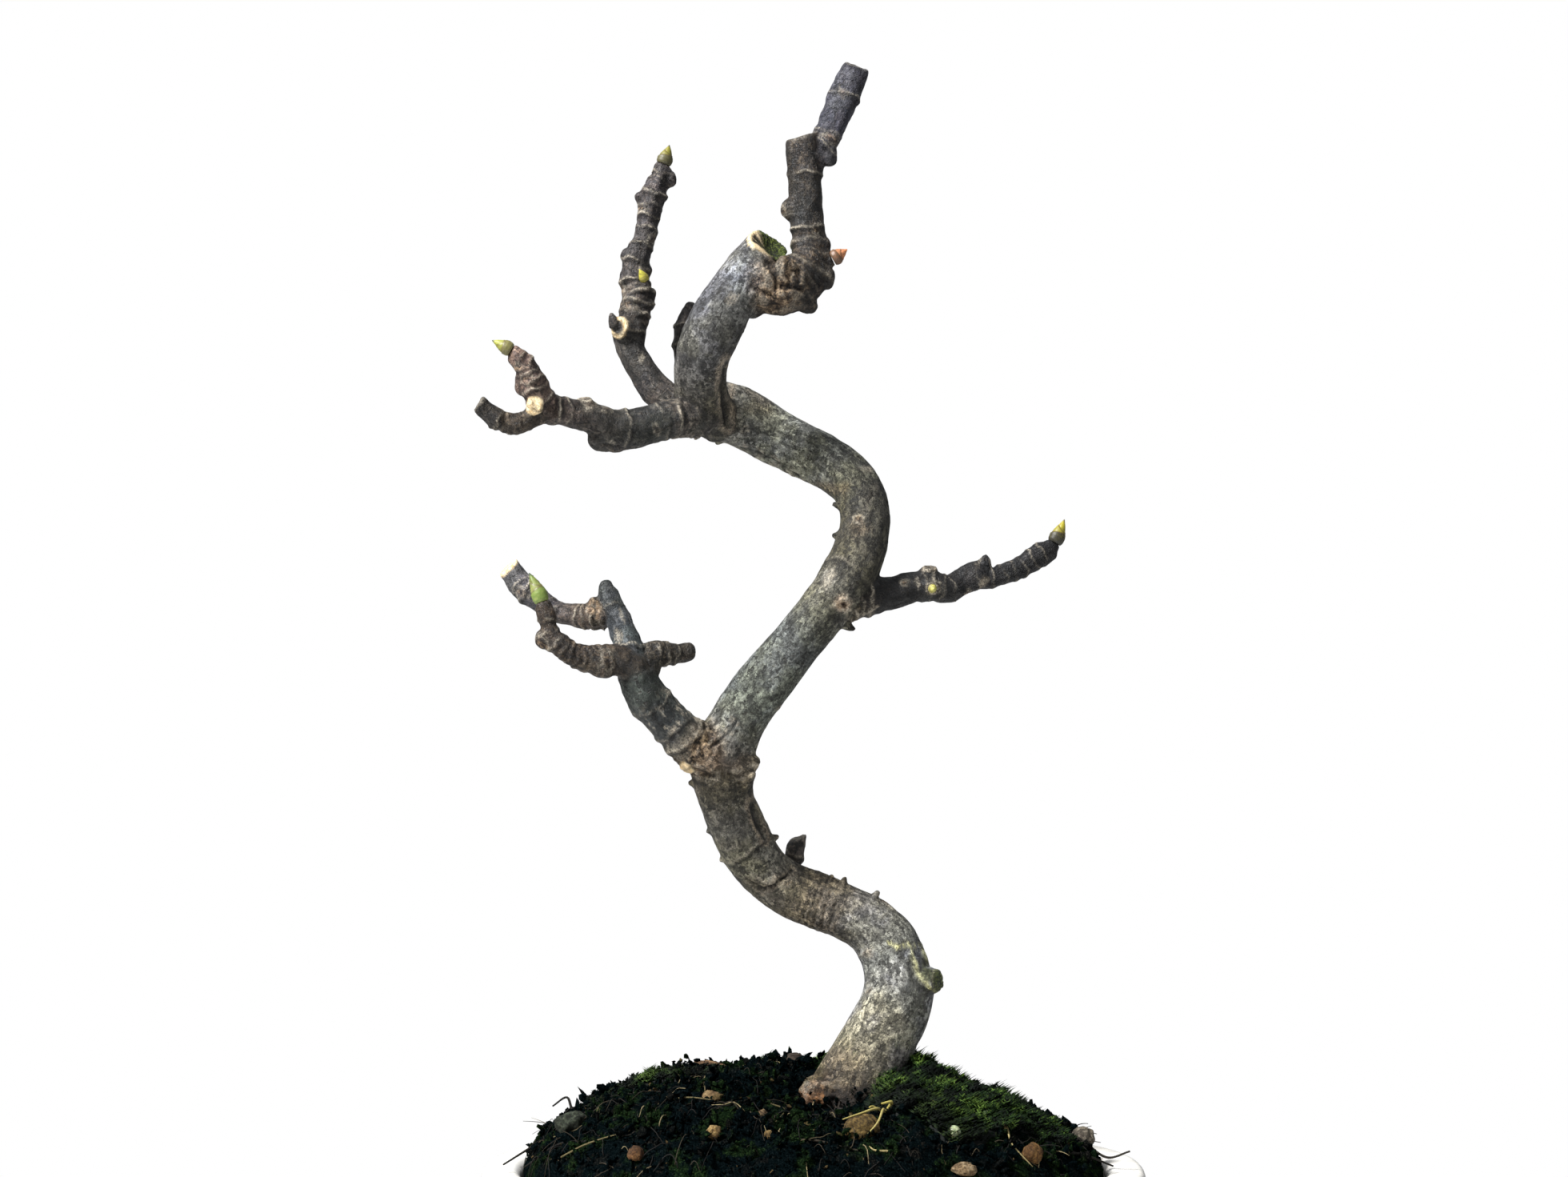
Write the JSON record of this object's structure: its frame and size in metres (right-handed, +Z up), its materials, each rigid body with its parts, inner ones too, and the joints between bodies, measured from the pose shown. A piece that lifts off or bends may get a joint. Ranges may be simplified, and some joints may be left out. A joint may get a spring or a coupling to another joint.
{
  "type": "common fig bonsai",
  "caption": "Leafless fig bonsai with a winding grey trunk, dark pruned branches and opening buds, in a mossy soil mound in a cream oval footed pot.",
  "frame": {"origin": "middle of the pot's footprint, on the ground under its feet", "axes": "+Z up; the front of the tree faces -Y; +X to the viewer's right, along the pot's long side"},
  "size_m": [0.186, 0.138, 0.3693],
  "materials": {
    "fig_bark": "matte",
    "bud_green": "satin",
    "bud_bright_green": "satin",
    "bud_tan": "satin",
    "soil_mix": "matte",
    "moss_green": "matte",
    "stone_tan": "matte",
    "stone_orange": "matte",
    "stone_grey": "matte",
    "stone_dark": "matte",
    "feed_bead": "satin",
    "old_bark": "matte",
    "pot_glaze": "gloss",
    "screen_mesh": "matte"
  },
  "bodies": {
    "root": {"tree": "fig_bark", "bud_tall_tip": "bud_green", "bud_tall_side": "bud_green", "bud_left_tip": "bud_green", "bud_low_front_tip": "bud_bright_green", "bud_right_tip": "bud_green", "bud_right_side": "bud_green", "bud_apex_side": "bud_tan", "soil": "soil_mix", "moss_right": "moss_green", "moss_left": "moss_green", "moss_back": "moss_green", "stone_tan_front": "stone_tan", "stone_orange_right": "stone_orange", "stone_grey_right": "stone_grey", "stone_flat_right": "stone_tan", "stone_rust_left": "stone_orange", "stone_yellow_left": "stone_tan", "stone_dark_left": "stone_dark", "stone_tan_left": "stone_tan", "stone_small_middle": "stone_tan", "stone_small_front": "stone_tan", "stone_grey_back": "stone_grey", "stone_tan_back": "stone_tan", "bead_large": "feed_bead", "bead_small": "feed_bead", "bark_flake_left": "old_bark", "bark_lump": "old_bark", "bark_flake_right": "old_bark", "pot": "pot_glaze", "drain_screen_left": "screen_mesh", "drain_screen_right": "screen_mesh"}
  },
  "joints": []
}
